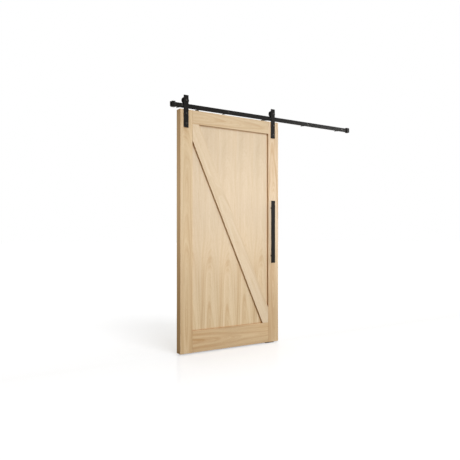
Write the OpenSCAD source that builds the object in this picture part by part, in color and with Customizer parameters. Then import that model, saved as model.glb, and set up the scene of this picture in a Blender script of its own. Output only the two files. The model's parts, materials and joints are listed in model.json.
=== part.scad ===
// Sliding barn door: a framed timber door with one diagonal brace on each side, hung by two
// strap hangers and grooved wheels from a flat steel track that stands off the wall.
// +X runs along the track to the right, +Y goes into the wall and +Z is up.
// The origin is on the axis of the middle track bolt, in the plane of the wall.

/* [Door] */
// Width of the door
door_w = 1067; // [900:1:1100]
// Height of the door
door_h = 2134; // [1900:1:2400]
// Thickness of the door frame
door_t = 70; // [64:1:76]
// Width of the two stiles
stile_w = 120; // [100:1:140]
// Height of the top rail
top_rail_h = 120; // [110:1:160]
// Height of the bottom rail
bottom_rail_h = 190; // [150:1:220]
// Width of the diagonal braces
brace_w = 120; // [80:1:140]
// Depth of the panel's face behind the frame's face
panel_recess = 18; // [12:1:20]
// Gap between the top of the door and the track
track_gap = 12; // [12:1:20]
// Gap between the back of the door and the wall
wall_gap = 8; // [6:1:20]
// Gap between the floor and the bottom of the door
floor_gap = 10; // [8:1:14]
// Distance from the middle of the track to the door's right side
door_offset = 91; // [60:1:120]

/* [Track] */
// Length of the flat track
track_len = 2134; // [1900:1:2400]
// Height of the flat track
track_h = 40; // [36:1:45]
// Thickness of the flat track
track_t = 6; // [5:0.5:7]
// Distance between neighbouring track bolts
bolt_pitch = 477; // [400:1:480]
// Diameter of the standoffs behind the track
standoff_d = 16; // [14:1:24]
// Shank diameter of the lag bolts
lag_d = 8; // [7:0.5:8]
// Depth of the lag bolts in the wall
lag_embed = 45; // [35:1:60]

/* [End stops] */
// Distance from the end of the track to the stop's outer face
stop_inset = 9; // [5:1:30]
// Width of the stop block along the track
stop_w = 27; // [20:1:40]
// Height of the stop block
stop_h = 49; // [47:1:56]
// Depth of the stop block
stop_depth = 30; // [22:1:34]
// Thickness of the rubber bumper
bumper_t = 9; // [5:1:12]
// Height of the rubber bumper
bumper_h = 52; // [50:1:58]

/* [Hangers] */
// Distance from the door's left side to the middle of the left strap
hanger_left_inset = 55; // [48:1:70]
// Distance from the door's right side to the middle of the right strap
hanger_right_inset = 68; // [48:1:72]
// Width of the hanger straps
strap_w = 46; // [38:1:48]
// Thickness of the hanger straps
strap_t = 6; // [5:0.5:8]
// Length of strap below the top of the door
strap_drop = 159; // [145:1:200]
// Length of strap above the wheel's axle
strap_rise = 45; // [36:1:50]
// Distance from the top of the door to the upper hanger bolt
hanger_bolt_drop = 36; // [30:1:44]
// Distance between the two bolts of a hanger
hanger_bolt_pitch = 87; // [80:1:95]
// Diameter of the hanger bolts
hanger_bolt_d = 10; // [8:1:10]
// Outer diameter of the wheels
wheel_d = 65; // [60:1:72]
// Width of the wheels
wheel_w = 22; // [20:1:24]
// Diameter of the wheels at the bottom of the groove
groove_d = 53; // [50:1:54]
// Width of the groove at its bottom
groove_w = 7; // [7:0.5:8]

/* [Anti-jump discs] */
// Distance from the door's side to the middle of each disc
disc_inset = 175; // [150:1:250]
// Diameter of the discs
disc_d = 34; // [30:1:40]
// Height of the discs
disc_h = 9; // [7:1:10]

/* [Pull handle] */
// Length of the pull bar
pull_len = 600; // [400:1:700]
// Width of the pull bar
pull_w = 44; // [30:1:46]
// Thickness of the pull bar
pull_t = 6; // [5:1:10]
// Gap between the door and the pull bar
pull_gap = 24; // [22:1:45]
// Distance from the door's right side to the middle of the pull
pull_inset = 82; // [50:1:90]
// Distance from the end of the pull bar to each post
pull_post_inset = 70; // [30:1:120]

/* [Floor guide] */
// Length of the guide's foot along the track
guide_len = 100; // [90:1:120]
// Depth of the guide's foot
guide_depth = 44; // [30:1:60]
// Thickness of the guide's foot and fin
guide_t = 3; // [2:0.5:4]
// Distance between the guide's screw holes
guide_hole_pitch = 72; // [64:1:76]

/* [Hidden] */
// Smoothness of the turned shapes
$fn = 64;
// Amount by which cuts run past a face
over = 1;
// Chamfer of a hexagon's corners, and the flat circle inside it as a share of its width
hex_chamfer = 1;
hex_face = 0.94;

// Depths, measured from the wall along Y
door_y1 = -wall_gap;
door_y0 = door_y1 - door_t;
door_yc = (door_y0 + door_y1) / 2;
wheel_gap = 3;
wheel_y0 = door_y0 + wheel_gap;
wheel_y1 = wheel_y0 + wheel_w;
track_yc = wheel_y0 + wheel_w / 2;
track_y0 = track_yc - track_t / 2;
track_y1 = track_yc + track_t / 2;
strap_y0 = door_y0 - strap_t;

// Heights
door_z1 = -track_h / 2 - track_gap;
door_z0 = door_z1 - door_h;
panel_z0 = door_z0 + bottom_rail_h;
panel_z1 = door_z1 - top_rail_h;
wheel_clearance = 0.3;
axle_z = track_h / 2 + groove_d / 2 + wheel_clearance;
hanger_bolt_z = [
    for (i = [0, 1]) door_z1 - hanger_bolt_drop - i * hanger_bolt_pitch
];

// Places along the track
door_x1 = door_offset;
door_x0 = door_x1 - door_w;
panel_x0 = door_x0 + stile_w;
panel_x1 = door_x1 - stile_w;
hanger_left_x = door_x0 + hanger_left_inset;
hanger_right_x = door_x1 - hanger_right_inset;
disc_left_x = door_x0 + disc_inset;
disc_right_x = door_x1 - disc_inset;
lag_x = [for (i = [-2:2]) i * bolt_pitch];

// Joinery of the door frame
tenon_t = 16;
tenon_len = 45;
tenon_play = 2;
tongue = 12;
groove_depth = 14;
shoulder = 35;
edge_ease = 1.5;

// Track hardware
lag_hole_d = lag_d + 1;
lag_head_af = 13;
lag_head_h = 5.3;
lag_tip = 10;
lag_tip_d = 1.6;
washer_d = 18;
washer_t = 1.6;
shank_relief = 0.4;

// End stops
stop_slot_play = 0.2;
stop_under = 4;
stop_z0 = -track_h / 2 - stop_under;
stop_corner = 8;
stop_screw_d = 6;
stop_screw_proud = 3;
stop_x = track_len / 2 - stop_inset - stop_w;
bumper_lip = 1;
bumper_z0 = stop_z0 - bumper_lip;
bumper_depth = stop_depth - 2 * bumper_lip;

// Hanger hardware
bolt_af = 16;
bolt_head_h = 6.4;
bolt_play = 0.25;
barrel_d = 13;
barrel_len = 32;
barrel_flange_d = 22;
barrel_flange_t = 2;
axle_d = 10;
axle_nut_h = 10;

// Wheel bearing
bearing_w = 8;
bearing_d = 26;
race_in_r = 7.4;
race_out_r = 10.7;
ball_r = 2.25;
ball_play = 0.1;
ball_count = 7;
shield_t = 0.4;
shield_set = 0.3;
circlip_t = 1.2;
circlip_r = 13.9;
circlip_gap_deg = 50;
circlip_r_in = 11.5;
lip_r = 11;
spacer_r = 7;
spacer_back = 8;
bearing_y0 = track_yc - bearing_w / 2;
bearing_y1 = track_yc + bearing_w / 2;
pitch_r = (race_in_r + race_out_r) / 2;

// Wheel profile
rim_r = wheel_d / 2;
rim_w = 4;
web_r0 = 17;
web_r1 = 23;
web_dip = 2.5;
hub_r = 15;
lip_t = 3;
rim_ease = 1;
wheel_lip_y = bearing_y0 - wheel_y0 - lip_t;

// Anti-jump discs
disc_setback = 20;
disc_yc = door_y0 + disc_setback;
disc_screw_d = 5;
disc_screw_len = 40;
disc_offset = 5;
pilot_depth = disc_screw_len - disc_h + 1;

// Pull handle
pull_x = door_x1 - pull_inset;
pull_zc = (door_z0 + door_z1) / 2;
pull_y0 = door_y0 - pull_gap - pull_t;
post_d = 18;
post_thread = 18;
pull_screw_d = 8;
pull_screw_head_d = 16;
pull_screw_head_h = 4.4;
pull_post_z = [
    for (side = [-1, 1]) pull_zc + side * (pull_len / 2 - pull_post_inset)
];

// Floor guide, and the amount by which countersinks run past a face
guide_z0 = door_z0 - floor_gap;
guide_fin_len = 44;
guide_slot_w = 8;
guide_slot_depth = 20;
guide_fin_gap = 3;
guide_hole_d = 5;
guide_sink_d = 9;
sink_over = 0.01;

module block(x0, x1, y0, y1, z0, z1) {
    translate([x0, y0, z0])
        cube([x1 - x0, y1 - y0, z1 - z0]);
}

// A cylinder along +Y from y0 to y1
module rod_y(x, z, y0, y1, d) {
    translate([x, y0, z])
        rotate([-90, 0, 0])
            cylinder(h = y1 - y0, d = d);
}

// A ring along +Y from y0 to y1
module ring_y(x, z, y0, y1, r_in, r_out) {
    translate([x, y0, z])
        rotate([-90, 0, 0])
            difference() {
                cylinder(h = y1 - y0, r = r_out);
                translate([0, 0, -over])
                    cylinder(h = y1 - y0 + 2 * over, r = r_in);
            }
}

// A hexagonal bolt head or nut along +Y, chamfered at y0
module hex_y(x, z, y0, y1, af) {
    corner_d = af / cos(30);
    height = y1 - y0;
    translate([x, y0, z])
        rotate([-90, 0, 0])
            intersection() {
                cylinder(h = height, d = corner_d, $fn = 6);
                union() {
                    cylinder(h = hex_chamfer, d1 = af * hex_face, d2 = corner_d);
                    translate([0, 0, hex_chamfer])
                        cylinder(h = height - hex_chamfer, d = corner_d);
                }
            }
}

// A timber with its four long edges eased, lying along Z
module timber_z(x0, x1, z0, z1) {
    translate([0, 0, z0])
        linear_extrude(height = z1 - z0)
            eased_section(x0, x1, door_y0, door_y1);
}

// A timber with its four long edges eased, lying along X
module timber_x(x0, x1, z0, z1) {
    translate([x0, 0, 0])
        rotate([0, 90, 0])
            linear_extrude(height = x1 - x0)
                eased_section(-z1, -z0, door_y0, door_y1);
}

module eased_section(a0, a1, b0, b1) {
    polygon([
        [a0 + edge_ease, b0],
        [a1 - edge_ease, b0],
        [a1, b0 + edge_ease],
        [a1, b1 - edge_ease],
        [a1 - edge_ease, b1],
        [a0 + edge_ease, b1],
        [a0, b1 - edge_ease],
        [a0, b0 + edge_ease]
    ]);
}

// Track

module track_rail() {
    color("#2b2a29")
        difference() {
            block(-track_len / 2, track_len / 2, track_y0, track_y1, -track_h / 2, track_h / 2);
            for (x = lag_x)
                rod_y(x, 0, track_y0 - over, track_y1 + over, lag_hole_d);
        }
}

module track_standoff(index) {
    color("#2b2a29")
        ring_y(lag_x[index], 0, track_y1, 0, lag_hole_d / 2, standoff_d / 2);
}

module lag_bolt(index) {
    x = lag_x[index];
    head_y1 = track_y0 - washer_t;
    color("#2e2c2b") {
        hex_y(x, 0, head_y1 - lag_head_h, head_y1, lag_head_af);
        rod_y(x, 0, head_y1, 0, lag_d - shank_relief);
        rod_y(x, 0, 0, lag_embed - lag_tip, lag_d);
        translate([x, lag_embed - lag_tip, 0])
            rotate([-90, 0, 0])
                cylinder(h = lag_tip, d1 = lag_d, d2 = lag_tip_d);
    }
}

module lag_washers() {
    color("#2b2a29")
        for (x = lag_x)
            ring_y(x, 0, track_y0 - washer_t, track_y0, lag_hole_d / 2, washer_d / 2);
}

// The left end stop; the right one is its mirror image
module end_stop() {
    color("#262524")
        difference() {
            translate([0, track_yc + stop_depth / 2, 0])
                rotate([90, 0, 0])
                    linear_extrude(height = stop_depth)
                        end_stop_outline();
            block(-track_len, 0, track_y0 - stop_slot_play, track_y1 + stop_slot_play,
                -track_h / 2 - stop_slot_play, track_h / 2 + stop_slot_play);
            translate([-stop_x - stop_w / 2, track_yc, stop_z0 - over])
                cylinder(h = stop_h + 2 * over, d = stop_screw_d + 2 * stop_slot_play);
        }
}

module end_stop_outline() {
    x0 = -stop_x - stop_w;
    x1 = -stop_x;
    difference() {
        translate([x0, stop_z0])
            square([stop_w, stop_h]);
        for (top = [0, 1])
            translate([x0 + stop_corner, top ? stop_z0 + stop_h - stop_corner : stop_z0 + stop_corner])
                mirror([0, top ? 0 : 1])
                    corner_cut();
    }
}

// The waste outside a quarter round, towards -X and +Y
module corner_cut() {
    difference() {
        translate([-stop_corner - over, 0])
            square([stop_corner + over, stop_corner + over]);
        circle(r = stop_corner);
    }
}

module end_stop_left() {
    end_stop();
}

module end_stop_right() {
    mirror([1, 0, 0])
        end_stop();
}

// The rubber bumper of the left stop
module end_stop_bumper() {
    color("#191918")
        difference() {
            block(-stop_x, -stop_x + bumper_t, track_yc - bumper_depth / 2,
                track_yc + bumper_depth / 2, bumper_z0, bumper_z0 + bumper_h);
            block(-stop_x - over, -stop_x + bumper_t + over, track_y0 - stop_slot_play,
                track_y1 + stop_slot_play, -track_h / 2 - stop_slot_play,
                track_h / 2 + stop_slot_play);
        }
}

module end_stop_bumper_left() {
    end_stop_bumper();
}

module end_stop_bumper_right() {
    mirror([1, 0, 0])
        end_stop_bumper();
}

// Clamping screws that press on the track's top and bottom edges
module end_stop_screws() {
    color("#2e2c2b")
        for (x = [-stop_x - stop_w / 2, stop_x + stop_w / 2]) {
            translate([x, track_yc, track_h / 2])
                cylinder(h = stop_z0 + stop_h - track_h / 2 + stop_screw_proud, d = stop_screw_d);
            translate([x, track_yc, stop_z0 - stop_screw_proud])
                cylinder(h = -track_h / 2 - stop_z0 + stop_screw_proud, d = stop_screw_d);
        }
}

module floor_guide() {
    color("#2b2a29")
        difference() {
            union() {
                block(-guide_len / 2, guide_len / 2, door_yc - guide_depth / 2,
                    door_yc + guide_depth / 2, guide_z0, guide_z0 + guide_t);
                block(-guide_fin_len / 2, guide_fin_len / 2, door_yc - guide_t / 2,
                    door_yc + guide_t / 2, guide_z0, door_z0 + guide_slot_depth - guide_fin_gap);
            }
            for (side = [-1, 1])
                translate([side * guide_hole_pitch / 2, door_yc, guide_z0]) {
                    translate([0, 0, -over])
                        cylinder(h = guide_t + 2 * over, d = guide_hole_d);
                    translate([0, 0, guide_t / 2])
                        cylinder(h = guide_t / 2 + sink_over, d1 = guide_hole_d, d2 = guide_sink_d);
                }
        }
}

// Door

module door_panel() {
    color("#dfc8a8") {
        block(panel_x0, panel_x1, door_y0 + panel_recess, door_y1 - panel_recess,
            panel_z0, panel_z1);
        difference() {
            block(panel_x0 - tongue, panel_x1 + tongue, door_yc - tenon_t / 2,
                door_yc + tenon_t / 2, panel_z0 - tongue, panel_z1 + tongue);
            block(panel_x0, panel_x1, door_y0, door_y1, panel_z0, panel_z1);
        }
    }
}

// The groove for the panel, cut around the whole opening
module panel_groove() {
    block(panel_x0 - groove_depth, panel_x1 + groove_depth, door_yc - tenon_t / 2,
        door_yc + tenon_t / 2, panel_z0 - groove_depth, panel_z1 + groove_depth);
}

// The two mortises that take the rails' tenons, through to beyond the stile's inner edge
module mortises(x0, x1) {
    block(x0, x1, door_yc - tenon_t / 2, door_yc + tenon_t / 2,
        door_z0 + shoulder, panel_z0);
    block(x0, x1, door_yc - tenon_t / 2, door_yc + tenon_t / 2,
        panel_z1, door_z1 - shoulder);
}

module guide_slot() {
    block(door_x0 - over, door_x1 + over, door_yc - guide_slot_w / 2,
        door_yc + guide_slot_w / 2, door_z0 - over, door_z0 + guide_slot_depth);
}

// Holes for a hanger's two through bolts and their barrel nuts
module hanger_holes(x) {
    for (z = hanger_bolt_z) {
        rod_y(x, z, door_y0 - over, door_y1 + over, hanger_bolt_d + 2 * bolt_play);
        rod_y(x, z, door_y1 - barrel_len, door_y1 + over, barrel_d + 2 * bolt_play);
    }
}

module stile_left() {
    color("#d8c09b")
        difference() {
            timber_z(door_x0, panel_x0, door_z0, door_z1);
            panel_groove();
            mortises(panel_x0 - tenon_len - tenon_play, panel_x0 + over);
            guide_slot();
            hanger_holes(hanger_left_x);
        }
}

module stile_right() {
    color("#d8c09b")
        difference() {
            timber_z(panel_x1, door_x1, door_z0, door_z1);
            panel_groove();
            mortises(panel_x1 - over, panel_x1 + tenon_len + tenon_play);
            guide_slot();
            hanger_holes(hanger_right_x);
            for (z = pull_post_z)
                pull_screw_shape(z, 2 * bolt_play, over);
        }
}

// A rail between the stiles with a tenon at each end
module frame_rail(z0, z1, tenon_z0, tenon_z1) {
    color("#cfb48c")
        difference() {
            union() {
                timber_x(panel_x0, panel_x1, z0, z1);
                block(panel_x0 - tenon_len, panel_x1 + tenon_len, door_yc - tenon_t / 2,
                    door_yc + tenon_t / 2, tenon_z0, tenon_z1);
            }
            panel_groove();
            guide_slot();
        }
}

// The top rail, with pilot holes for the screws of the anti-jump discs
module top_rail() {
    difference() {
        frame_rail(panel_z1, door_z1, panel_z1 + groove_depth, door_z1 - shoulder);
        for (x = [disc_left_x, disc_right_x])
            translate([x, disc_yc + disc_offset, door_z1 - pilot_depth])
                cylinder(h = pilot_depth + over, d = disc_screw_d + bolt_play);
    }
}

module bottom_rail() {
    frame_rail(door_z0, panel_z0, door_z0 + shoulder, panel_z0 - groove_depth);
}

// A diagonal brace from the opening's top left corner to its bottom right one, fitted into both
module diagonal_brace(y0, y1) {
    open_w = panel_x1 - panel_x0;
    open_h = panel_z1 - panel_z0;
    color("#dcc39f")
        translate([panel_x0, y1, panel_z0])
            rotate([90, 0, 0])
                linear_extrude(height = y1 - y0)
                    intersection() {
                        square([open_w, open_h]);
                        translate([open_w / 2, open_h / 2])
                            rotate(-atan(open_h / open_w))
                                square([2 * open_h, brace_w], center = true);
                    }
}

module front_brace() {
    diagonal_brace(door_y0, door_y0 + panel_recess);
}

module back_brace() {
    diagonal_brace(door_y1 - panel_recess, door_y1);
}

// Hangers, each drawn at the height of its axle and shifted along the track

module hanger_strap(x) {
    color("#282726")
        difference() {
            block(x - strap_w / 2, x + strap_w / 2, strap_y0, door_y0,
                door_z1 - strap_drop, axle_z + strap_rise);
            rod_y(x, axle_z, strap_y0 - over, door_y0 + over, axle_d + 2 * bolt_play);
            for (z = hanger_bolt_z)
                rod_y(x, z, strap_y0 - over, door_y0 + over, hanger_bolt_d + 2 * bolt_play);
        }
}

module hanger_bolts(x) {
    color("#2e2c2b")
        for (z = hanger_bolt_z) {
            hex_y(x, z, strap_y0 - bolt_head_h, strap_y0, bolt_af);
            rod_y(x, z, strap_y0, door_y1 - 2 * barrel_flange_t, hanger_bolt_d);
        }
}

module barrel_nuts(x) {
    color("#2e2c2b")
        for (z = hanger_bolt_z)
            difference() {
                union() {
                    rod_y(x, z, door_y1 - barrel_len + over, door_y1, barrel_d);
                    rod_y(x, z, door_y1, door_y1 + barrel_flange_t, barrel_flange_d);
                }
                rod_y(x, z, door_y1 - barrel_len, door_y1 - barrel_flange_t,
                    hanger_bolt_d + bolt_play / 2);
            }
}

module axle_bolt(x) {
    nut_y1 = bearing_y1 + spacer_back + axle_nut_h;
    color("#2e2c2b") {
        hex_y(x, axle_z, strap_y0 - bolt_head_h, strap_y0, bolt_af);
        rod_y(x, axle_z, strap_y0, nut_y1 + over, axle_d);
    }
}

// Sleeves that hold the bearing's inner ring between the strap and the nut
module axle_spacers(x) {
    bore_r = axle_d / 2 + bolt_play / 2;
    color("#3a3836") {
        ring_y(x, axle_z, door_y0, bearing_y0, bore_r, spacer_r);
        ring_y(x, axle_z, bearing_y1, bearing_y1 + spacer_back, bore_r, spacer_r);
    }
}

module axle_nut(x) {
    nut_y0 = bearing_y1 + spacer_back;
    color("#2e2c2b")
        difference() {
            translate([0, 2 * nut_y0 + axle_nut_h, 0])
                mirror([0, 1, 0])
                    hex_y(x, axle_z, nut_y0, nut_y0 + axle_nut_h, bolt_af);
            rod_y(x, axle_z, nut_y0 - over, nut_y0 + axle_nut_h + over, axle_d + bolt_play);
        }
}

// The raceway's torus, which both rings are cut back to
module raceway(x) {
    translate([x, track_yc, axle_z])
        rotate([90, 0, 0])
            rotate_extrude()
                translate([pitch_r, 0])
                    circle(r = ball_r + ball_play);
}

module bearing_inner(x) {
    color("#8f9092")
        difference() {
            ring_y(x, axle_z, bearing_y0, bearing_y1, axle_d / 2 + bolt_play / 2, race_in_r);
            raceway(x);
        }
}

module bearing_outer(x) {
    color("#8f9092")
        difference() {
            ring_y(x, axle_z, bearing_y0, bearing_y1, race_out_r, bearing_d / 2);
            raceway(x);
        }
}

module bearing_balls(x) {
    color("#b9babc")
        for (i = [0:ball_count - 1])
            translate([x, track_yc, axle_z])
                rotate([0, i * 360 / ball_count, 0])
                    translate([pitch_r, 0, 0])
                        sphere(r = ball_r, $fn = 32);
}

module bearing_shields(x) {
    r_in = race_in_r + shield_set;
    color("#3a3836") {
        ring_y(x, axle_z, bearing_y0 + shield_set, bearing_y0 + shield_set + shield_t,
            r_in, race_out_r);
        ring_y(x, axle_z, bearing_y1 - shield_set - shield_t, bearing_y1 - shield_set,
            r_in, race_out_r);
    }
}

// A split ring that keeps the bearing in the wheel
module bearing_circlip(x) {
    color("#3a3836")
        translate([x, bearing_y1, axle_z])
            rotate([-90, 0, 0])
                rotate([0, 0, circlip_gap_deg])
                    rotate_extrude(angle = 360 - circlip_gap_deg)
                        translate([circlip_r_in, 0])
                            square([circlip_r - circlip_r_in, circlip_t]);
}

// A turned wheel: flanges each side of a groove for the track, and a bored hub
module wheel(x) {
    seat_r = bearing_d / 2;
    groove_r = groove_d / 2;
    seat_y0 = bearing_y0 - wheel_y0;
    seat_y1 = bearing_y1 - wheel_y0;
    color("#232221")
        translate([x, wheel_y0, axle_z])
            rotate([-90, 0, 0])
                rotate_extrude()
                    polygon([
                        [lip_r, wheel_lip_y],
                        [hub_r, 0],
                        [web_r0, 0],
                        [web_r0, web_dip],
                        [web_r1, web_dip],
                        [web_r1, 0],
                        [rim_r - rim_ease, 0],
                        [rim_r, rim_ease],
                        [rim_r, rim_w],
                        [groove_r, (wheel_w - groove_w) / 2],
                        [groove_r, (wheel_w + groove_w) / 2],
                        [rim_r, wheel_w - rim_w],
                        [rim_r, wheel_w - rim_ease],
                        [rim_r - rim_ease, wheel_w],
                        [web_r1, wheel_w],
                        [web_r1, wheel_w - web_dip],
                        [web_r0, wheel_w - web_dip],
                        [web_r0, wheel_w],
                        [seat_r, wheel_w],
                        [seat_r, seat_y1 + circlip_t],
                        [circlip_r, seat_y1 + circlip_t],
                        [circlip_r, seat_y1],
                        [seat_r, seat_y1],
                        [seat_r, seat_y0],
                        [lip_r, seat_y0]
                    ]);
}

// Anti-jump discs, screwed flat on the top of the door under the track

module anti_jump_disc(x) {
    color("#1f1e1d")
        difference() {
            translate([x, disc_yc, door_z1])
                cylinder(h = disc_h, d = disc_d);
            translate([x, disc_yc + disc_offset, door_z1 - over])
                cylinder(h = disc_h + 2 * over, d = disc_screw_d + bolt_play);
            translate([x, disc_yc + disc_offset, door_z1 + disc_h - disc_screw_d / 2])
                cylinder(h = disc_screw_d / 2 + sink_over, d1 = disc_screw_d + bolt_play,
                    d2 = 2 * disc_screw_d + bolt_play);
        }
}

module anti_jump_screws() {
    color("#3a3836")
        for (x = [disc_left_x, disc_right_x]) {
            translate([x, disc_yc + disc_offset, door_z1 + disc_h - disc_screw_len])
                cylinder(h = disc_screw_len - disc_screw_d / 2, d = disc_screw_d);
            translate([x, disc_yc + disc_offset, door_z1 + disc_h - disc_screw_d / 2])
                cylinder(h = disc_screw_d / 2, d1 = disc_screw_d, d2 = 2 * disc_screw_d);
        }
}

// Pull handle

module pull_bar() {
    color("#302e2d")
        block(pull_x - pull_w / 2, pull_x + pull_w / 2, pull_y0, pull_y0 + pull_t,
            pull_zc - pull_len / 2, pull_zc + pull_len / 2);
}

module pull_post(index) {
    z = pull_post_z[index];
    color("#302e2d")
        difference() {
            rod_y(pull_x, z, pull_y0 + pull_t, door_y0, post_d);
            rod_y(pull_x, z, door_y0 - post_thread, door_y0 + over, pull_screw_d + bolt_play);
        }
}

// A countersunk screw from the door's back into a post; for its hole, play widens it and
// past carries its head out of the door's back
module pull_screw_shape(z, play, past) {
    cone_h = pull_screw_head_h + past;
    cone_rise = (pull_screw_head_d - pull_screw_d) * cone_h / pull_screw_head_h;
    rod_y(pull_x, z, door_y0 - post_thread + over, door_y1 - pull_screw_head_h,
        pull_screw_d + play);
    translate([pull_x, door_y1 - pull_screw_head_h, z])
        rotate([-90, 0, 0])
            cylinder(h = cone_h, d1 = pull_screw_d + play, d2 = pull_screw_d + play + cone_rise);
}

module pull_screws() {
    color("#2e2c2b")
        for (z = pull_post_z)
            pull_screw_shape(z, 0, 0);
}

track_rail();
track_standoff(0);  // track_standoff_1
track_standoff(1);  // track_standoff_2
track_standoff(2);  // track_standoff_3
track_standoff(3);  // track_standoff_4
track_standoff(4);  // track_standoff_5
lag_bolt(0);  // lag_bolt_1
lag_bolt(1);  // lag_bolt_2
lag_bolt(2);  // lag_bolt_3
lag_bolt(3);  // lag_bolt_4
lag_bolt(4);  // lag_bolt_5
lag_washers();
end_stop_left();
end_stop_right();
end_stop_bumper_left();
end_stop_bumper_right();
end_stop_screws();
floor_guide();
door_panel();
stile_left();
stile_right();
top_rail();
bottom_rail();
front_brace();
back_brace();
hanger_strap(hanger_left_x);  // hanger_strap_left
hanger_strap(hanger_right_x);  // hanger_strap_right
hanger_bolts(hanger_left_x);  // hanger_bolts_left
hanger_bolts(hanger_right_x);  // hanger_bolts_right
barrel_nuts(hanger_left_x);  // barrel_nuts_left
barrel_nuts(hanger_right_x);  // barrel_nuts_right
axle_bolt(hanger_left_x);  // axle_bolt_left
axle_bolt(hanger_right_x);  // axle_bolt_right
axle_spacers(hanger_left_x);  // axle_spacers_left
axle_spacers(hanger_right_x);  // axle_spacers_right
axle_nut(hanger_left_x);  // axle_nut_left
axle_nut(hanger_right_x);  // axle_nut_right
bearing_inner(hanger_left_x);  // bearing_inner_left
bearing_inner(hanger_right_x);  // bearing_inner_right
bearing_outer(hanger_left_x);  // bearing_outer_left
bearing_outer(hanger_right_x);  // bearing_outer_right
bearing_balls(hanger_left_x);  // bearing_balls_left
bearing_balls(hanger_right_x);  // bearing_balls_right
bearing_shields(hanger_left_x);  // bearing_shields_left
bearing_shields(hanger_right_x);  // bearing_shields_right
bearing_circlip(hanger_left_x);  // bearing_circlip_left
bearing_circlip(hanger_right_x);  // bearing_circlip_right
wheel(hanger_left_x);  // wheel_left
wheel(hanger_right_x);  // wheel_right
anti_jump_disc(disc_left_x);  // anti_jump_disc_left
anti_jump_disc(disc_right_x);  // anti_jump_disc_right
anti_jump_screws();
pull_bar();
pull_post(1);  // pull_post_upper
pull_post(0);  // pull_post_lower
pull_screws();
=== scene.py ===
"""Looks for the sliding barn door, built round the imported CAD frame. Lengths are in metres."""
import json
import math

import bmesh
import bpy
from mathutils import Matrix, Vector, noise

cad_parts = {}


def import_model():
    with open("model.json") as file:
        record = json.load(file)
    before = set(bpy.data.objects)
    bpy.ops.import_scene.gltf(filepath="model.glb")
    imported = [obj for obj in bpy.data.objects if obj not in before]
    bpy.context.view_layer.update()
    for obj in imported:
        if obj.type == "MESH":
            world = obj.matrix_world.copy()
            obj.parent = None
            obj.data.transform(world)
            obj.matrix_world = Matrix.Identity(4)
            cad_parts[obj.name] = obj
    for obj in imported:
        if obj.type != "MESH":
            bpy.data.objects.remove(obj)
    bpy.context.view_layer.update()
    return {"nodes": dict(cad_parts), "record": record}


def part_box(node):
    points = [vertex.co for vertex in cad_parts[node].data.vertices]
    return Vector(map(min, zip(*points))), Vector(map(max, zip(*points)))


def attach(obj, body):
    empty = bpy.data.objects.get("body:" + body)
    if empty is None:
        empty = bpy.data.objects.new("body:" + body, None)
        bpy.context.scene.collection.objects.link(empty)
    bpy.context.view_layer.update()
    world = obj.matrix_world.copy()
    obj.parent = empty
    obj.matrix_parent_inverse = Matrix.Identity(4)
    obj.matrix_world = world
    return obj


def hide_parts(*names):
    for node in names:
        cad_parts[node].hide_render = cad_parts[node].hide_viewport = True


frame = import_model()

MM = 0.001
SIDES = ("left", "right")


# ---------------------------------------------------------------- places, all from the frame

def middle(node):
    low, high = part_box(node)
    return (low + high) / 2


STILE_LOW, STILE_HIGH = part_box("stile_left")
OPENING_LOW, OPENING_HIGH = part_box("front_brace")
DOOR_LOW = STILE_LOW
DOOR_HIGH = Vector((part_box("stile_right")[1].x, STILE_HIGH.y, STILE_HIGH.z))
DOOR_MIDDLE = (DOOR_LOW + DOOR_HIGH) / 2
FLOOR_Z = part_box("floor_guide")[0].z
BODY_OF = {n: b for b, names in frame["record"]["behaviour"]["bodies"].items() for n in names}
SLOT_OF = {s["node"]: s["material_slot"] for s in frame["record"]["subparts"]}


# ---------------------------------------------------------------- shader building

# The Mix node's colour sockets, whose names its other sockets share
MIX_A, MIX_B, MIX_RESULT = 6, 7, 2


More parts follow.
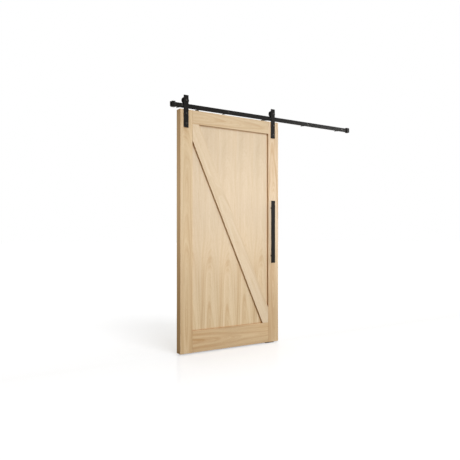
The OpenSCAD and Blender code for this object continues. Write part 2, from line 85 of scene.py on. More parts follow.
class Nodes:
    """Short calls that add nodes to a tree. A value is a number, a tuple or a node's output."""

    def __init__(self, tree):
        self.tree = tree

    def add(self, kind, **settings):
        node = self.tree.nodes.new("ShaderNode" + kind)
        for key, value in settings.items():
            setattr(node, key, value)
        return node

    def link(self, source, target):
        self.tree.links.new(source, target)

    def feed(self, socket, value):
        """Link value to the socket if it is an output, and set it on the socket if not."""
        if isinstance(value, bpy.types.NodeSocket):
            self.link(value, socket)
        else:
            socket.default_value = value

    def math(self, operation, *values, clamp=False):
        node = self.add("Math", operation=operation, use_clamp=clamp)
        for socket, value in zip(node.inputs, values):
            self.feed(socket, value)
        return node.outputs[0]

    def vector(self, operation, *values):
        node = self.add("VectorMath", operation=operation)
        for socket, value in zip(node.inputs, values):
            self.feed(socket, value)
        return node.outputs[0]

    def joined(self, x, y, z):
        node = self.add("CombineXYZ")
        for socket, value in zip(node.inputs, (x, y, z)):
            self.feed(socket, value)
        return node.outputs[0]

    def noise(self, coordinates, scale=1.0, detail=2.0, roughness=0.5):
        node = self.add("TexNoise")
        self.link(coordinates, node.inputs["Vector"])
        node.inputs["Scale"].default_value = scale
        node.inputs["Detail"].default_value = detail
        node.inputs["Roughness"].default_value = roughness
        return node.outputs["Fac"]

    def ramp(self, value, stops):
        """A grey for the value, between stops of (place, grey)."""
        node = self.add("ValToRGB")
        self.link(value, node.inputs[0])
        elements = node.color_ramp.elements
        while len(elements) < len(stops):
            elements.new(0.5)
        for element, (place, grey) in zip(elements, stops):
            element.position = place
            element.color = (grey, grey, grey, 1.0)
        return node.outputs["Color"]

    def spread(self, value, reach, to):
        """The value carried over from the range reach to the range to, and held within it."""
        node = self.add("MapRange")
        for socket, number in zip(node.inputs, (value, *reach, *to)):
            self.feed(socket, number)
        return node.outputs[0]

    def mix(self, factor, a, b, blend="MIX"):
        """Colour a with as much of b over it as factor says. Either may be an RGB tuple."""
        node = self.add("Mix", data_type="RGBA", blend_type=blend)
        self.feed(node.inputs["Factor"], factor)
        for socket, value in ((node.inputs[MIX_A], a), (node.inputs[MIX_B], b)):
            self.feed(socket, value if isinstance(value, bpy.types.NodeSocket) else (*value, 1.0))
        return node.outputs[MIX_RESULT]

    def tinted(self, factor, colour, tint):
        """The colour multiplied by the tint, as far as factor says."""
        return self.mix(factor, colour, self.mix(1.0, colour, tint, blend="MULTIPLY"))


class Shader(Nodes):
    """The nodes of a new material, which starts with its Principled BSDF."""

    def __init__(self, name):
        self.material = bpy.data.materials.new(name)
        self.material.use_nodes = True
        super().__init__(self.material.node_tree)
        self.bsdf = self.tree.nodes["Principled BSDF"]

    def bump(self, height, strength, distance):
        node = self.add("Bump")
        self.link(height, node.inputs["Height"])
        node.inputs["Strength"].default_value = strength
        node.inputs["Distance"].default_value = distance
        self.link(node.outputs["Normal"], self.bsdf.inputs["Normal"])

    def set(self, **values):
        """Feed the BSDF's sockets, with underscores for the spaces in their names."""
        for key, value in values.items():
            self.feed(self.bsdf.inputs[key.replace("_", " ")], value)


# ---------------------------------------------------------------- oak

# A growth ring, a band of colour and a leaf of veneer, each by its width
RING = 4.5 * MM
BAND = 13 * MM
LEAF_W = 190 * MM
# Where the joints of the leaves fall, as a share of a leaf, how far each leaf slips along the
# grain, by the sine of so many radians a leaf, and the width of the joint's dark edge
LEAF_START = 0.68
LEAF_SLIP = 45 * MM
LEAF_SLIP_TURN = 2.1
LEAF_EDGE = 0.8 * MM
# Whole leaves added, which keep the count of leaves above zero over the whole door
LEAVES_BEFORE = 10
# How far the rings stray sideways and in depth
RING_SWAY = 50 * MM
RING_LEAN = 70 * MM
# The darkness through one ring, from its early wood to its late wood, as (place, darkness)
LATE_WOOD = ((0.0, 0.3), (0.2, 0.0), (0.65, 0.3), (0.9, 1.0), (1.0, 0.3))
# Steps in the noise's space, from one seed to the next and to patterns of their own
SEED_STEP = (3.17, 1.71, 2.39)
LEAN_APART = (7.3, 1.1, 4.7)
FLARE_APART = (5.1, 2.3, 8.9)
# The pale wood's colour, and what the dark wood's is of it
OAK = (0.540, 0.452, 0.336)
DARKER = (0.66, 0.50, 0.32)
# What the lightest streaks are of the pale wood, and a warmer, darker tint for faces that look
# along X
FLARE = (1.10, 1.12, 1.16)
X_FACE_TINT = (1.02, 0.92, 0.82)
# Of the dark wood: the pores, and a painted shade, deep and warm, in closed corners and recesses,
# which reaches so far out of them
PORE = (0.7, 0.64, 0.58)
PAINTED_CORNER_SHADE = (0.88, 0.60, 0.26)
PAINTED_SHADE_REACH = 20 * MM


def scaled(colour, by):
    return tuple(c * k for c, k in zip(colour, by))


def board_axes(s, along, centre):
    """Places measured from the board's centre: u and d across the grain, and v along it."""
    dx, dz = along
    turn = math.atan2(-dx, dz)
    place = s.add("Mapping", vector_type="POINT")
    place.inputs["Rotation"].default_value = (0, turn, 0)
    cx = centre.x * math.cos(turn) + centre.z * math.sin(turn)
    cz = -centre.x * math.sin(turn) + centre.z * math.cos(turn)
    place.inputs["Location"].default_value = (-cx, -centre.y, -cz)
    s.link(s.add("TexCoord").outputs["Object"], place.inputs["Vector"])
    split = s.add("SeparateXYZ")
    s.link(place.outputs[0], split.inputs[0])
    return split.outputs


def laid_in_leaves(s, u, v):
    """u and v within a leaf of veneer, the leaf's number, and the share of its width passed."""
    start = LEAF_W * (LEAF_START + LEAVES_BEFORE)
    steps = s.math("DIVIDE", s.math("ADD", u, start), LEAF_W)
    leaf = s.math("FLOOR", steps)
    joint = s.math("FRACT", steps)
    u = s.math("MULTIPLY", s.math("SUBTRACT", joint, 0.5), LEAF_W)
    wave = s.math("SINE", s.math("MULTIPLY", leaf, LEAF_SLIP_TURN))
    v = s.math("ADD", v, s.math("MULTIPLY", wave, LEAF_SLIP))
    return u, v, leaf, joint


def growth_rings(s, stretched, axes, pith, taper, apart):
    """The fine fibre, the broad bands of colour and the darkness of the rings, from 0 to 1.

    The rings run round a pith that lies so far from the board's middle and leans by taper.
    """
    u, d, v = axes
    slow = stretched(4.0, 1.2)
    sway = s.math("SUBTRACT", s.noise(slow), 0.5)
    lean = s.math("SUBTRACT", s.noise(s.vector("ADD", slow, LEAN_APART), scale=1.3), 0.5)
    across = s.math("ADD", u, s.math("MULTIPLY", sway, RING_SWAY))
    depth = s.math("ADD", s.math("MULTIPLY_ADD", v, taper, pith), d)
    depth = s.math("ADD", depth, s.math("MULTIPLY", lean, RING_LEAN))
    radius = s.math("SQRT", s.math("ADD", s.math("MULTIPLY", across, across),
                                   s.math("MULTIPLY", depth, depth)))
    fibre = s.noise(stretched(300.0, 7.0), detail=3.0, roughness=0.6)
    band_at = s.joined(s.math("DIVIDE", radius, BAND), s.math("MULTIPLY", v, 0.8), apart)
    bands = s.noise(band_at, detail=3.0, roughness=0.62)
    ring = s.math("FRACT", s.math("ADD", s.math("DIVIDE", radius, RING),
                                  s.math("MULTIPLY", fibre, 0.35)))
    return fibre, bands, s.ramp(ring, LATE_WOOD)


def marked(s, stretched, pale, dark, bands, late, strength):
    """The wood's colour with its marks, and how much of a pore there is."""
    colour = s.mix(s.math("MULTIPLY", s.spread(bands, (0.42, 0.68), (0.0, 0.42)), strength),
                   pale, dark)
    colour = s.mix(s.math("MULTIPLY", late, s.math("MULTIPLY", strength, 0.12)), colour, dark)
    streak = s.noise(stretched(27.0, 0.8), detail=3.0, roughness=0.55)
    colour = s.mix(s.spread(streak, (0.42, 0.72), (0.0, 0.22)), colour, dark)
    flare = s.noise(s.vector("ADD", stretched(17.0, 0.6), FLARE_APART))
    colour = s.mix(s.spread(flare, (0.5, 0.72), (0.0, 0.4)), colour, scaled(pale, FLARE))
    thread = s.noise(stretched(170.0, 4.0), roughness=0.6)
    colour = s.mix(s.spread(thread, (0.35, 0.75), (0.0, 0.14)), colour, dark)
    pore = s.spread(s.noise(stretched(1500.0, 70.0), detail=1.0), (0.58, 0.66), (0.0, 1.0))
    pore = s.math("MULTIPLY", pore, s.math("MULTIPLY_ADD", late, 0.6, 0.3), clamp=True)
    return s.mix(s.math("MULTIPLY", pore, 0.5), colour, scaled(dark, PORE)), pore


def leaf_light(s, light, leaf, joint):
    """The light with a tone for each leaf and a darker line at its joints."""
    pick = s.add("TexWhiteNoise", noise_dimensions="1D")
    s.link(leaf, pick.inputs["W"])
    light = s.math("MULTIPLY", light, s.spread(pick.outputs["Value"], (0.0, 1.0), (0.96, 1.03)))
    edge = s.math("ABSOLUTE", s.math("SUBTRACT", joint, 0.5))
    seam = s.spread(edge, (0.5 - LEAF_EDGE / LEAF_W, 0.5), (1.0, 0.86))
    return s.math("MULTIPLY", light, seam)


def oak(name, node, along, seed, tint=(1, 1, 1), figure=1.0, pith=70 * MM, taper=0.05,
        leaves=False, foot=None):
    """Flat-sawn pale oak for a node, cut from a solid pattern of rings.

    along is the grain's direction in X-Z, and figure the strength of the rings and bands. leaves
    lays it as slip-matched veneer, whose figure is plainer towards the top. foot is a further
    tint that grows towards the lower end.
    """
    s = Shader(name)
    pale = scaled(OAK, tint)
    dark = scaled(pale, DARKER)
    u, d, v = board_axes(s, along, middle(node))
    shift = Vector([seed * step for step in SEED_STEP])
    if leaves:
        u, v, leaf, joint = laid_in_leaves(s, u, v)

    def stretched(across, lengthways):
        """Noise coordinates, in cycles per metre across and along the grain."""
        scale = s.joined(s.math("MULTIPLY", u, across), s.math("MULTIPLY", d, across),
                         s.math("MULTIPLY", v, lengthways))
        return s.vector("ADD", scale, shift)

    fibre, bands, late = growth_rings(s, stretched, (u, d, v), pith, taper, shift.x)
    tide = s.noise(stretched(9.0, 0.9))
    strength = s.math("MULTIPLY", s.spread(tide, (0.35, 0.65), (0.55, 1.0)), figure)
    if leaves:
        strength = s.math("MULTIPLY", strength, s.spread(v, (-0.5, 0.5), (1.25, 0.45)))
    colour, pore = marked(s, stretched, pale, dark, bands, late, strength)
    cloud = s.noise(stretched(2.6, 1.3))
    light = s.spread(cloud, (0.3, 0.7), (0.94, 1.06))
    if leaves:
        light = leaf_light(s, light, leaf, joint)
    colour = s.mix(1.0, colour, s.joined(light, light, light), blend="MULTIPLY")
    if foot:
        low_down = s.spread(v, (-0.9, 0.1), (1.0, 0.0))
        colour = s.tinted(low_down, colour, foot)
    # Faces that look along X are tinted warmer and darker, as far as they face that way
    facing = s.add("SeparateXYZ")
    s.link(s.add("TexCoord").outputs["Normal"], facing.inputs[0])
    on_edge = s.spread(s.math("ABSOLUTE", facing.outputs["X"]), (0.5, 0.9), (0.0, 1.0))
    colour = s.tinted(on_edge, colour, X_FACE_TINT)
    # Painted shade: where ambient occlusion finds the surface closed in (recesses, corners, under
    # the rails), the colour turns to a deep warm brown
    corner = s.add("AmbientOcclusion", samples=8, only_local=False)
    corner.inputs["Distance"].default_value = PAINTED_SHADE_REACH
    painted_shade = s.spread(corner.outputs["AO"], (0.36, 0.84), (0.9, 0.0))
    colour = s.mix(painted_shade, colour, scaled(dark, PAINTED_CORNER_SHADE))
    s.link(colour, s.bsdf.inputs["Base Color"])
    s.link(s.spread(fibre, (0.3, 0.7), (0.52, 0.64)), s.bsdf.inputs["Roughness"])
    s.set(Specular_IOR_Level=0.25)
    relief = s.math("SUBTRACT", s.math("MULTIPLY", fibre, 0.35), pore)
    s.bump(relief, strength=0.35, distance=0.12 * MM)
    return s.material


# ---------------------------------------------------------------- steel, rubber and nylon

def coated_steel(name, colour, rough, specular, grain=0.5 * MM, bump=0.35):
    """Steel with a matt coat: an orange-peel bump, and a little variation of tone and gloss."""
    s = Shader(name)
    at = s.add("TexCoord").outputs["Object"]
    peel = s.noise(at, scale=1.0 / grain, roughness=0.55)
    patch = s.noise(at, scale=9.0, detail=3.0, roughness=0.6)
    dust = s.noise(at, scale=60.0)
    paler = tuple(c * 1.45 + 0.004 for c in colour)
    s.link(s.mix(s.spread(patch, (0.35, 0.7), (0.0, 0.6)), colour, paler),
           s.bsdf.inputs["Base Color"])
    s.link(s.spread(dust, (0.3, 0.7), (rough - 0.05, rough + 0.06)), s.bsdf.inputs["Roughness"])
    s.set(Specular_IOR_Level=specular)
    s.bump(peel, strength=bump, distance=0.05 * MM)
    return s.material


def rubber(name):
    s = Shader(name)
    at = s.add("TexCoord").outputs["Object"]
    skin = s.noise(at, scale=900.0, detail=3.0, roughness=0.6)
    bloom = s.noise(at, scale=40.0)
    s.link(s.mix(s.spread(bloom, (0.35, 0.75), (0.0, 0.5)),
                 (0.010, 0.010, 0.010), (0.022, 0.021, 0.021)), s.bsdf.inputs["Base Color"])
    s.link(s.spread(skin, (0.3, 0.7), (0.72, 0.86)), s.bsdf.inputs["Roughness"])
    s.set(Specular_IOR_Level=0.25)
    s.bump(skin, strength=0.3, distance=0.06 * MM)
    return s.material


def nylon(name):
    s = Shader(name)
    at = s.add("TexCoord").outputs["Object"]
    grain = s.noise(at, scale=1400.0)
    s.link(s.mix(s.spread(grain, (0.3, 0.7), (0.0, 0.4)),
                 (0.013, 0.013, 0.013), (0.024, 0.024, 0.024)), s.bsdf.inputs["Base Color"])
    s.link(s.spread(grain, (0.3, 0.7), (0.48, 0.6)), s.bsdf.inputs["Roughness"])
    s.set(Specular_IOR_Level=0.4)
    s.bump(grain, strength=0.2, distance=0.04 * MM)
    return s.material


def ground_steel(name):
    s = Shader(name)
    at = s.add("TexCoord").outputs["Object"]
    lines = s.noise(s.vector("MULTIPLY", at, (900.0, 4000.0, 900.0)))
    s.link(s.mix(lines, (0.50, 0.51, 0.52), (0.62, 0.63, 0.64)), s.bsdf.inputs["Base Color"])
    s.link(s.spread(lines, (0.3, 0.7), (0.22, 0.34)), s.bsdf.inputs["Roughness"])
    s.set(Metallic=1.0)
    s.bump(lines, strength=0.15, distance=0.02 * MM)
    return s.material


def brace_direction():
    """The braces' direction in X-Z, along the diagonal of the opening that they fill."""
    span = OPENING_HIGH - OPENING_LOW
    return (-span.x / math.hypot(span.x, span.z), span.z / math.hypot(span.x, span.z))


UPRIGHT = (0.0, 1.0)
LEVEL = (1.0, 0.0)
SLANTED = brace_direction()
BRACE_TINT = (0.98, 0.98, 0.97)
PULL_COAT = coated_steel("pull_coat", (0.0062, 0.0058, 0.0054), rough=0.50, specular=0.10)
# Materials by node, or by slot for the nodes that have none of their own
MATERIAL = {
    "stile_left": oak("oak_stile_left", "stile_left", UPRIGHT, 1, tint=(0.94, 0.90, 0.80),
                      figure=1.9, foot=(1.0, 0.97, 0.93)),
    "stile_right": oak("oak_stile_right", "stile_right", UPRIGHT, 2, tint=(0.96, 0.93, 0.90),
                       figure=2.8, foot=(0.95, 0.91, 0.82)),
    "top_rail": oak("oak_top_rail", "top_rail", LEVEL, 3, tint=(0.94, 0.90, 0.82), figure=1.6),
    "bottom_rail": oak("oak_bottom_rail", "bottom_rail", LEVEL, 4, tint=(0.90, 0.82, 0.69),
                       figure=2.7),
    "front_brace": oak("oak_front_brace", "front_brace", SLANTED, 5, BRACE_TINT, figure=0.9),
    "back_brace": oak("oak_back_brace", "back_brace", SLANTED, 6, BRACE_TINT, figure=0.9),
    "door_panel": oak("oak_panel", "door_panel", UPRIGHT, 7, figure=0.9, pith=105 * MM,
                      taper=0.06, leaves=True, foot=(1.0, 0.97, 0.88)),
    "pull_bar": PULL_COAT,
    "pull_post_upper": PULL_COAT,
    "pull_post_lower": PULL_COAT,
    "black_steel": coated_steel("powder_coat", (0.0048, 0.0045, 0.0042), rough=0.42,
                                specular=0.10),
    "black_fasteners": coated_steel("black_oxide", (0.016, 0.015, 0.014), rough=0.30,
                                    specular=0.45, grain=0.3 * MM, bump=0.15),
    "bearing_steel": ground_steel("bearing_steel"),
    "bumper_rubber": rubber("bumper_rubber"),
    "black_nylon": nylon("black_nylon"),
}


def finish_of(node):
    return MATERIAL.get(node) or MATERIAL[SLOT_OF[node]]


# ---------------------------------------------------------------- mesh building

# In degrees: edges that stay sharp when shaded, edges that are eased, and facets merged first
SHADED_SHARP = 50.0
EASED_FROM = 40.0
FLAT_WITHIN = 0.3
EASE_SEGMENTS = 2
SAME_POINT = 1e-6


def piece(name, bm, node, *replaced):
    """A new object with node's finish and body. It stands for the nodes in replaced."""
    mesh = bpy.data.meshes.new(name)
    bmesh.ops.recalc_face_normals(bm, faces=bm.faces)
    bm.to_mesh(mesh)
    bm.free()
    mesh.materials.append(finish_of(node))
    for polygon in mesh.polygons:
        polygon.use_smooth = True
    mesh.set_sharp_from_angle(angle=math.radians(SHADED_SHARP))
    obj = bpy.data.objects.new(name, mesh)
    bpy.context.scene.collection.objects.link(obj)
    flats = obj.modifiers.new("flats_stay_flat", "WEIGHTED_NORMAL")
    flats.keep_sharp = True
    flats.weight = 100
    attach(obj, BODY_OF[node])
    if replaced:
        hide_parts(*replaced)


def eased_copy(node, width):
    """The CAD node with its sharp edges rounded, by no more than width."""
    bm = bmesh.new()
    bm.from_mesh(frame["nodes"][node].data)
    bmesh.ops.remove_doubles(bm, verts=bm.verts, dist=SAME_POINT)
    bmesh.ops.dissolve_limit(bm, angle_limit=math.radians(FLAT_WITHIN), verts=bm.verts,
                             edges=bm.edges)
    sharp = [e for e in bm.edges if len(e.link_faces) == 2
             and e.calc_face_angle(0.0) > math.radians(EASED_FROM)]
    bmesh.ops.bevel(bm, geom=sharp, offset=width, segments=EASE_SEGMENTS, profile=0.5,
                    affect="EDGES", clamp_overlap=True)
    piece(node + "_eased", bm, node, node)


# ---------------------------------------------------------------- fasteners, in millimetres

# Turns that take +Z, the direction in which a shape's rows are stacked, to another direction
ALONG_Y = Matrix(((1, 0, 0), (0, 0, 1), (0, -1, 0)))
ALONG_MINUS_Y = Matrix(((1, 0, 0), (0, 0, -1), (0, 1, 0)))
UP = Matrix.Identity(3)
DOWN = Matrix(((1, 0, 0), (0, -1, 0), (0, 0, -1)))

# Sides of the round shapes: the large ones, the lag bolts, and the small screws
STEPS, LAG_STEPS, SMALL_STEPS = 36, 30, 24
THREAD_ROWS_PER_TURN = 8

# A bolt head's round top and the distance to its corners, both by its width across the flats,
# and the part of the top that lies within its rim
HEAD_TOP, HEAD_CORNER, WITHIN_RIM = 0.46, 0.577, 0.93
# A thread's depth by its pitch, and what is left of the core at a screw's point
THREAD_DEPTH, POINT = 0.33, 0.12


def turned(bm, place, axis, rows, steps=STEPS):
    """A closed shape of rings. A row is (radius, height), in mm from place along the axis; its
    radius may be a function of the angle. The first and last rows close to a point."""
    def put(radius, height, k):
        angle = 2 * math.pi * k / steps
        r = radius(angle) if callable(radius) else radius
        return bm.verts.new(place + axis @ Vector((r * math.cos(angle), r * math.sin(angle),
                                                   height)) * MM)
    start, end = (bm.verts.new(place + axis @ Vector((0, 0, h)) * MM)
                  for h in (rows[0][1], rows[-1][1]))
    rings = [[put(radius, height, k) for k in range(steps)] for radius, height in rows]
    for k in range(steps):
        j = (k + 1) % steps
        bm.faces.new((start, rings[0][j], rings[0][k]))
        bm.faces.new((end, rings[-1][k], rings[-1][j]))
        for low, high in zip(rings, rings[1:]):
            bm.faces.new((low[k], low[j], high[j], high[k]))


def hexagon(across_flats):
    """A hexagon's radius at an angle, with corners at 0, 60 and so on degrees."""
    def radius(angle):
        return across_flats / 2 / math.cos(angle % (math.pi / 3) - math.pi / 6)
    return radius


def hex_head(across_flats, height):
    """Rows of a bolt head with a chamfered top at 0 and its seat at height."""
    flat = across_flats * HEAD_TOP
    corner = hexagon(across_flats)
    drop = (across_flats * HEAD_CORNER - flat) * 0.5
    return [(flat * WITHIN_RIM, 0.0), (flat, 0.1), (corner, drop), (corner, height)]


def socket(radius, across_flats, depth, edge=0.3):
    """Rows of a round head's face at 0, with a hexagonal socket in it."""
    hole = hexagon(across_flats)
    return [(hole, depth), (hole, 0.0), (radius - edge, 0.0), (radius, edge)]


def thread(start, end, crest, pitch, tip=0.0):
    """Rows of a screw thread, which tapers to a point over its last tip millimetres."""
    rows = []
    root = crest - THREAD_DEPTH * pitch
    count = int((end - start) / pitch * THREAD_ROWS_PER_TURN)
    for i in range(count + 1):
        h = start + (end - start) * i / count
        fade = min(1.0, (h - start) / pitch, (end - h) / max(tip, 0.5 * pitch))

        def radius(angle, h=h, fade=fade):
            wave = abs(((h / pitch - angle / (2 * math.pi)) % 1.0) * 2 - 1)
            core = root if not tip else root * (POINT + (1 - POINT) * fade)
            return core + (crest - root) * wave * fade
        rows.append((radius, h))
    return rows


def bolt_lengths(node, seat):
    """The height of a bolt's head, which bears on the plane Y = seat, and the whole length."""
    low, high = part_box(node)
    return (seat - low.y) / MM, (high.y - low.y) / MM


def lag_bolts():
    neck, shank = 4.6, 3.8
    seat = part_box("lag_washers")[0].y
    for index in range(1, 6):
        node = f"lag_bolt_{index}"
        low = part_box(node)[0]
        at = middle(node)
        head, length = bolt_lengths(node, seat)
        wall = -low.y / MM
        rows = hex_head(13.0, head)
        rows += [(neck, head), (shank, head + 0.4), (shank, wall - 0.5)]
        rows += thread(wall, length, crest=3.98, pitch=3.2, tip=9.0)
        bm = bmesh.new()
        turned(bm, Vector((at.x, low.y, at.z)), ALONG_Y, rows, LAG_STEPS)
        piece(f"{node}_threaded", bm, node, node)


def machine_bolt(head, length, grip):
    """Rows of a 10 mm bolt, plain down to grip, with a chamfered end."""
    radius = 4.98
    rows = hex_head(16.0, head)
    rows += [(radius + 0.5, head), (radius, head + 0.5), (radius, grip)]
    return rows + thread(grip + 0.3, length, radius, pitch=1.5) + [(radius - 0.8, length)]


def hanger_bolts(side, seat):
    head_radius, grip = 8 * MM, 45.0
    node = f"hanger_bolts_{side}"
    low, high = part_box(node)
    bm = bmesh.new()
    for z in (low.z + head_radius, high.z - head_radius):
        turned(bm, Vector((middle(node).x, low.y, z)), ALONG_Y,
               machine_bolt(*bolt_lengths(node, seat), grip))
    piece(f"{node}_threaded", bm, node, node)


def axle_bolt(side, seat):
    grip = 34.0
    node = f"axle_bolt_{side}"
    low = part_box(node)[0]
    bm = bmesh.new()
    turned(bm, Vector((middle(node).x, low.y, middle(node).z)), ALONG_Y,
           machine_bolt(*bolt_lengths(node, seat), grip))
    piece(f"{node}_threaded", bm, node, node)


def barrel_nuts(side):
    """Flat heads with a socket, on barrels that are bored from the far end."""
    head, under_head, barrel, bore, bore_end = 11.0, 2.0, 6.5, 5.06, 4.0
    node = f"barrel_nuts_{side}"
    low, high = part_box(node)
    length = (high.y - low.y) / MM
    rows = socket(head, across_flats=6.0, depth=1.5, edge=0.6)
    rows += [(head, under_head), (barrel, under_head), (barrel, length - 0.4),
             (barrel - 0.4, length), (bore, length), (bore, bore_end)]
    bm = bmesh.new()
    for z in (low.z + head * MM, high.z - head * MM):
        turned(bm, Vector((middle(node).x, high.y, z)), ALONG_MINUS_Y, rows)
    piece(f"{node}_socketed", bm, node, node)


def hanger_fasteners():
    for side in SIDES:
        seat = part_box(f"hanger_strap_{side}")[0].y
        hanger_bolts(side, seat)
        axle_bolt(side, seat)
        barrel_nuts(side)


def pull_screws():
    head, shank = 8.0, 4.0
    node = "pull_screws"
    low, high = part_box(node)
    length = (high.y - low.y) / MM
    rows = socket(head, across_flats=5.0, depth=3.0) + [(shank, 4.4), (shank, length - 16.0)]
    rows += thread(length - 15.7, length, crest=3.98, pitch=1.25) + [(3.2, length)]
    bm = bmesh.new()
    for z in (low.z + head * MM, high.z - head * MM):
        turned(bm, Vector((middle(node).x, high.y, z)), ALONG_MINUS_Y, rows)
    piece("pull_screws_socketed", bm, node, node)


def anti_jump_screws():
    head, shank, shank_end = 5.0, 2.5, 9.0
    node = "anti_jump_screws"
    low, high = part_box(node)
    length = (high.z - low.z) / MM
    rows = socket(head, across_flats=3.0, depth=1.6, edge=0.2)
    rows += [(shank, 2.5), (shank, shank_end)]
    rows += thread(shank_end, length, crest=2.48, pitch=2.2, tip=5.0)
    bm = bmesh.new()
    for x in (low.x + head * MM, high.x - head * MM):
        turned(bm, Vector((x, middle(node).y, high.z)), DOWN, rows, SMALL_STEPS)
    piece("anti_jump_screws_socketed", bm, node, node)


def end_stop_screws():
    """Headless screws, two to an end stop, that clamp it on the track from above and below."""
    radius, crest = 3 * MM, 2.98
    node = "end_stop_screws"
    low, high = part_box(node)
    track_low, track_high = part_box("track_rail")
    bm = bmesh.new()
    for x in (low.x + radius, high.x - radius):
        for face, reach, axis in ((high.z, high.z - track_high.z, DOWN),
                                  (low.z, track_low.z - low.z, UP)):
            length = reach / MM
            rows = socket(crest, across_flats=3.0, depth=2.0)
            rows += thread(0.8, length, crest, pitch=1.0) + [(2.3, length)]
            turned(bm, Vector((x, middle(node).y, face)), axis, rows, SMALL_STEPS)
    piece("end_stop_screws_socketed", bm, node, node)


# The weld beads: the radius of their middle line and of their section, the middle's height over
# the bar, the ripples round a bead and their depth, its unevenness, and its sides round the post
# and round its own section
BEAD_R, BEAD_FAT, BEAD_LIFT = 9.3, 1.5, 0.5
RIPPLES, RIPPLE, UNEVEN = 22, 0.16, 0.25
BEAD_STEPS, BEAD_SECTION = 96, 8


def weld_beads():
    """A rippled bead round each post, where it meets the back of the pull bar."""
    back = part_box("pull_bar")[1].y
    for node in ("pull_post_upper", "pull_post_lower"):
        at = middle(node)
        bm = bmesh.new()
        rings = []
        for i in range(BEAD_STEPS):
            angle = 2 * math.pi * i / BEAD_STEPS
            fat = (BEAD_FAT + RIPPLE * math.sin(angle * RIPPLES)
                   + UNEVEN * noise.noise(Vector((angle, 0, at.z))))
            ring = []
            for k in range(BEAD_SECTION):
                turn = 2 * math.pi * k / BEAD_SECTION
                r = BEAD_R + fat * math.cos(turn)
                ring.append(bm.verts.new((at.x + r * math.cos(angle) * MM,
                                          back + (BEAD_LIFT + fat * math.sin(turn)) * MM,
                                          at.z + r * math.sin(angle) * MM)))
            rings.append(ring)
        for i in range(BEAD_STEPS):
            a, b = rings[i], rings[(i + 1) % BEAD_STEPS]
            for k in range(BEAD_SECTION):
                j = (k + 1) % BEAD_SECTION
                bm.faces.new((a[k], a[j], b[j], b[k]))
        piece(f"{node}_weld", bm, node)


# ---------------------------------------------------------------- the pieces

lag_bolts()
hanger_fasteners()
pull_screws()
anti_jump_screws()
end_stop_screws()
weld_beads()

# How far the edges are eased at most, in mm, by the start of the node's name. Less comes out on
# some: 0.15 on the straps, and 0.006 to 0.024 on the right stile, the track and the top rail, whose
# edges stay as good as sharp.
EASE = {
    "track_rail": 0.5, "hanger_strap": 0.7, "pull_bar": 0.7, "end_stop_left": 1.2,
    "end_stop_right": 1.2, "end_stop_bumper": 1.5, "floor_guide": 0.4,
    "stile": 0.8, "top_rail": 0.8, "bottom_rail": 0.8, "front_brace": 1.0, "back_brace": 1.0,
}
for node in frame["nodes"]:
    for start, width in EASE.items():
        if node.startswith(start):
            eased_copy(node, width * MM)

for node, obj in frame["nodes"].items():
    obj.data.materials.clear()
    obj.data.materials.append(finish_of(node))


# ---------------------------------------------------------------- stage

# The floor's reach, its colour and glow to the eye, and the colour of the light it passes on
FLOOR_HALF = 60.0
FLOOR_SEEN = (0.60, 0.625, 0.67)
FLOOR_GLOW = 0.51
FLOOR_BOUNCE = (0.33, 0.25, 0.115)
# Its gloss under the door, how rough that is, and how far in Y from the door it fades out
FLOOR_GLOSS = 0.17
FLOOR_GLOSS_ROUGH = 0.12
POLISHED = 1.3
# The room's brightness to its left and right, the X of a direction that counts as each, and
# its tint
WORLD_LEFT = 0.18
WORLD_RIGHT = 0.86
WORLD_FADE = (-0.95, 0.25)
WORLD_TINT = (1.0, 0.95, 0.87)
WHITE = (1.0, 1.0, 1.0)


def seen(nodes):
    """1 for what the camera sees and 0 for the light that surfaces pass to one another."""
    return nodes.add("LightPath").outputs["Is Camera Ray"]


def floor():
    """A large white floor, polished near the door.

    It passes on a dimmer and warmer light than the eye sees in it.
    """
    bm = bmesh.new()
    corners = [(-FLOOR_HALF, -FLOOR_HALF), (FLOOR_HALF, -FLOOR_HALF),
               (FLOOR_HALF, FLOOR_HALF), (-FLOOR_HALF, FLOOR_HALF)]
    bm.faces.new([bm.verts.new((x, y, FLOOR_Z)) for x, y in corners])
    mesh = bpy.data.meshes.new("floor")
    bm.to_mesh(mesh)
    bm.free()
    s = Shader("studio_floor")
    shown = seen(s)
    s.link(s.mix(shown, FLOOR_BOUNCE, FLOOR_SEEN), s.bsdf.inputs["Base Color"])
    s.set(Roughness=0.9, Specular_IOR_Level=0.0, Emission_Color=(*WHITE, 1.0))
    s.link(s.math("MULTIPLY", shown, FLOOR_GLOW), s.bsdf.inputs["Emission Strength"])
    gloss = s.add("BsdfGlossy")
    gloss.inputs["Roughness"].default_value = FLOOR_GLOSS_ROUGH
    blend = s.add("MixShader")
    place = s.add("SeparateXYZ")
    s.link(s.add("TexCoord").outputs["Object"], place.inputs[0])
    away = s.math("ABSOLUTE", s.math("SUBTRACT", place.outputs["Y"], DOOR_MIDDLE.y))
    s.link(s.spread(away, (0.0, POLISHED), (FLOOR_GLOSS, 0.0)), blend.inputs[0])
    s.link(s.bsdf.outputs[0], blend.inputs[1])
    s.link(gloss.outputs[0], blend.inputs[2])
    s.link(blend.outputs[0], s.tree.nodes["Material Output"].inputs["Surface"])
    mesh.materials.append(s.material)
    obj = bpy.data.objects.new("floor", mesh)
    bpy.context.scene.collection.objects.link(obj)
    return obj


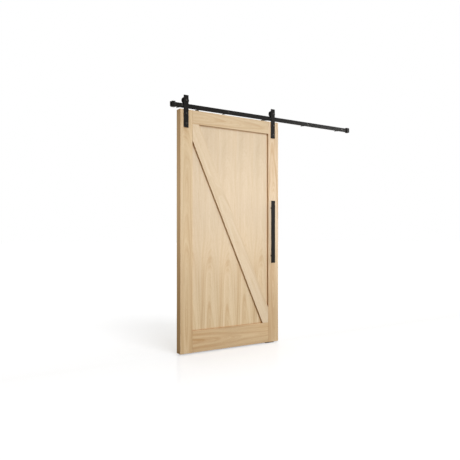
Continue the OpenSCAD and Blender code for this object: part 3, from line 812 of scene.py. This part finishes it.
def world():
    """A white room, whose light is a little warm and is dimmer towards -X."""
    made = bpy.data.worlds.new("studio")
    made.use_nodes = True
    s = Nodes(made.node_tree)
    s.tree.nodes.clear()
    split = s.add("SeparateXYZ")
    s.link(s.add("TexCoord").outputs["Generated"], split.inputs[0])
    shade = s.add("MapRange", interpolation_type="SMOOTHSTEP")
    s.link(split.outputs["X"], shade.inputs["Value"])
    shade.inputs["From Min"].default_value, shade.inputs["From Max"].default_value = WORLD_FADE
    shade.inputs["To Min"].default_value = WORLD_LEFT
    shade.inputs["To Max"].default_value = WORLD_RIGHT
    light, backdrop, blend = s.add("Background"), s.add("Background"), s.add("MixShader")
    light.inputs["Color"].default_value = (*WORLD_TINT, 1.0)
    backdrop.inputs["Color"].default_value = (*WHITE, 1.0)
    s.link(shade.outputs["Result"], light.inputs["Strength"])
    s.link(seen(s), blend.inputs[0])
    s.link(light.outputs[0], blend.inputs[1])
    s.link(backdrop.outputs[0], blend.inputs[2])
    s.link(blend.outputs[0], s.add("OutputWorld").inputs["Surface"])
    bpy.context.scene.world = made


def all_but(name, left_out):
    """A collection that light linking takes as everything but the object left out."""
    made = bpy.data.collections.new(name)
    made.objects.link(left_out)
    made.collection_objects[0].light_linking.link_state = "EXCLUDE"
    return made


# ---------------------------------------------------------------- lights and camera

def lamp(name, kind, power, colour=WHITE):
    """A new light that everything but the pull bar casts shadows in."""
    data = bpy.data.lights.new(name, kind)
    data.energy = power
    data.color = colour
    obj = bpy.data.objects.new(name, data)
    obj.light_linking.blocker_collection = all_but_pull_bar
    bpy.context.scene.collection.objects.link(obj)
    return obj


def sun(name, toward, angle, strength):
    """A distant light of the given angular size in degrees, seen in the direction toward."""
    obj = lamp(name, "SUN", strength)
    obj.data.angle = math.radians(angle)
    obj.rotation_euler = Vector(toward).to_track_quat("Z", "Y").to_euler()


def area_light(name, place, target, side, power, colour=WHITE, shadows=True):
    """A square light that shines on everything but the floor.

    With shadows off, nothing stops its light.
    """
    obj = lamp(name, "AREA", power, colour)
    obj.data.shape = "SQUARE"
    obj.data.size = side
    obj.data.use_shadow = shadows
    obj.location = place
    obj.rotation_euler = (target - place).to_track_quat("-Z", "Y").to_euler()
    obj.light_linking.receiver_collection = all_but_floor
    obj.visible_camera = False


# The camera's place from the door's lower front left corner, and its turn about Z in degrees
CAMERA_FROM_DOOR = Vector((-2.1085, -4.1450, 1.0381))
CAMERA_TURN = -34.427
CAMERA_LENS = 41.64
CAMERA_SENSOR = 36.0
CAMERA_SHIFT = (-0.0435, 0.0104)


def camera():
    """A level camera to the left of the door, looking along the track and into the wall."""
    data = bpy.data.cameras.new("camera")
    data.sensor_width = CAMERA_SENSOR
    data.lens = CAMERA_LENS
    data.shift_x, data.shift_y = CAMERA_SHIFT
    obj = bpy.data.objects.new("camera", data)
    obj.location = DOOR_LOW + CAMERA_FROM_DOOR
    obj.rotation_euler = (math.radians(90), 0, math.radians(CAMERA_TURN))
    bpy.context.scene.collection.objects.link(obj)
    bpy.context.scene.camera = obj


all_but_floor = all_but("not_lit_by_fills", floor())
all_but_pull_bar = all_but("casts_no_hard_shadow", bpy.data.objects["pull_bar_eased"])
world()
sun("key", toward=(0.0, -1.0, 0.87), angle=32, strength=1.25)
area_light("front_fill", DOOR_MIDDLE + Vector((0.36, -1.9, 0.34)),
           DOOR_MIDDLE + Vector((0.08, 0, 0.26)), side=1.2, power=22.5,
           colour=(0.97, 1.0, 1.06))
area_light("side_fill", DOOR_MIDDLE + Vector((-1.9, -0.1, 0.42)),
           DOOR_MIDDLE + Vector((0, 0, 0.35)), side=0.6, power=10)
area_light("right_front", DOOR_HIGH + Vector((4.3, -3.2, 0.2)),
           DOOR_HIGH + Vector((0.9, 0, 0)), side=1.4, power=150, shadows=False)
area_light("back_fill", DOOR_MIDDLE + Vector((0.6, 3.2, 0.8)), DOOR_MIDDLE, side=2.0, power=42)
camera()
bpy.context.scene.view_settings.view_transform = "Standard"
